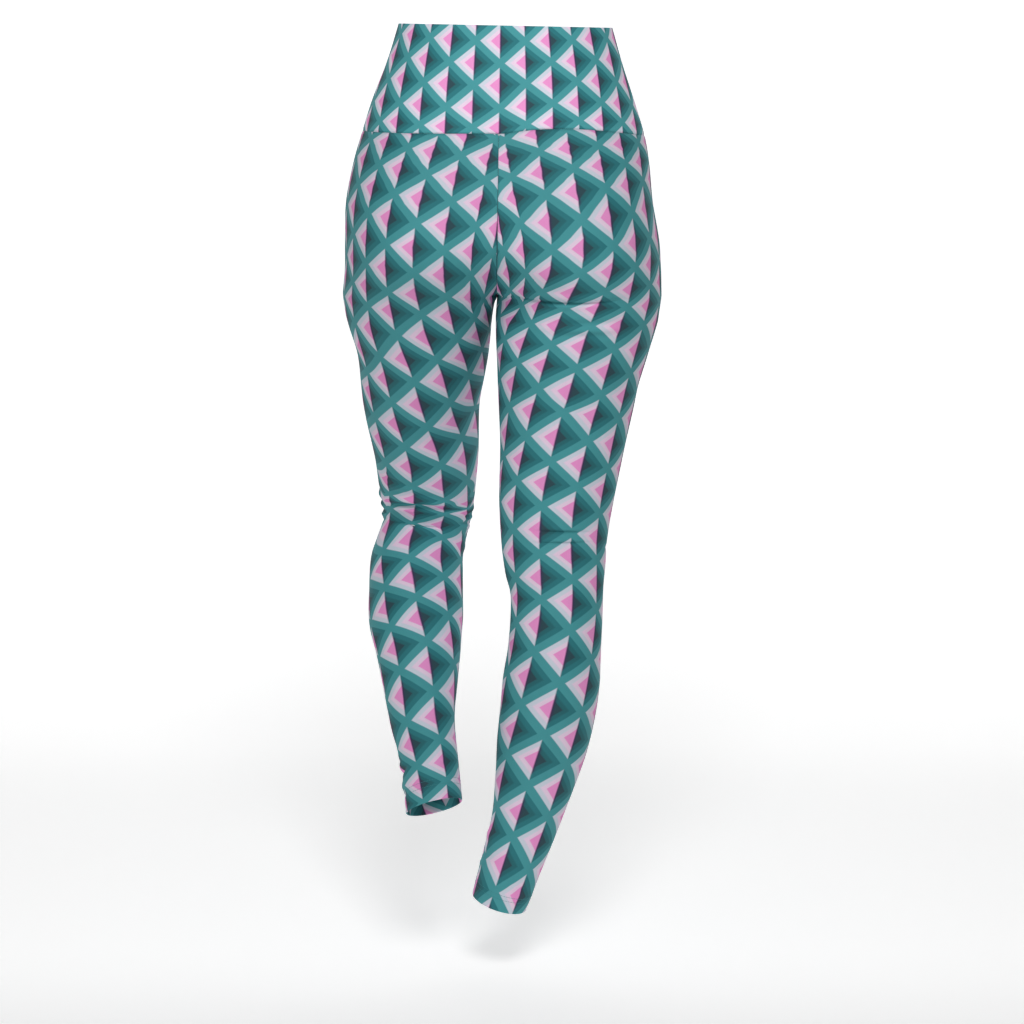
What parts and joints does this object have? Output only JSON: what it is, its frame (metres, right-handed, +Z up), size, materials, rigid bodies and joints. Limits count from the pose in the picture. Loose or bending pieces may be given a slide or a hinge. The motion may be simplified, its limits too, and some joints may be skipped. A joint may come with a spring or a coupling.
{
  "type": "leggings",
  "caption": "Full-length high-waisted leggings in stretch knit, hollow as worn in mid-stride, with a wide waistband, open waist and open hems.",
  "frame": {"origin": "middle of the waist opening, where the wearer's waist holds the garment", "axes": "+Z up out of the waist; the garment's back faces +Y; its left leg is on +X"},
  "size_m": [0.3525, 0.3733, 1.0003],
  "materials": {
    "leg_knit": "smooth stretch jersey, printed with a trellis of two-tone lozenges, soft sheen",
    "waistband_knit": "the same jersey, folded double",
    "sewing_thread": "soft overlock and cover-stitch thread"
  },
  "bodies": {
    "root": {"waistband_back": "waistband_knit", "waistband_front": "waistband_knit", "leg_left": "leg_knit", "leg_right": "leg_knit"}
  },
  "joints": []
}
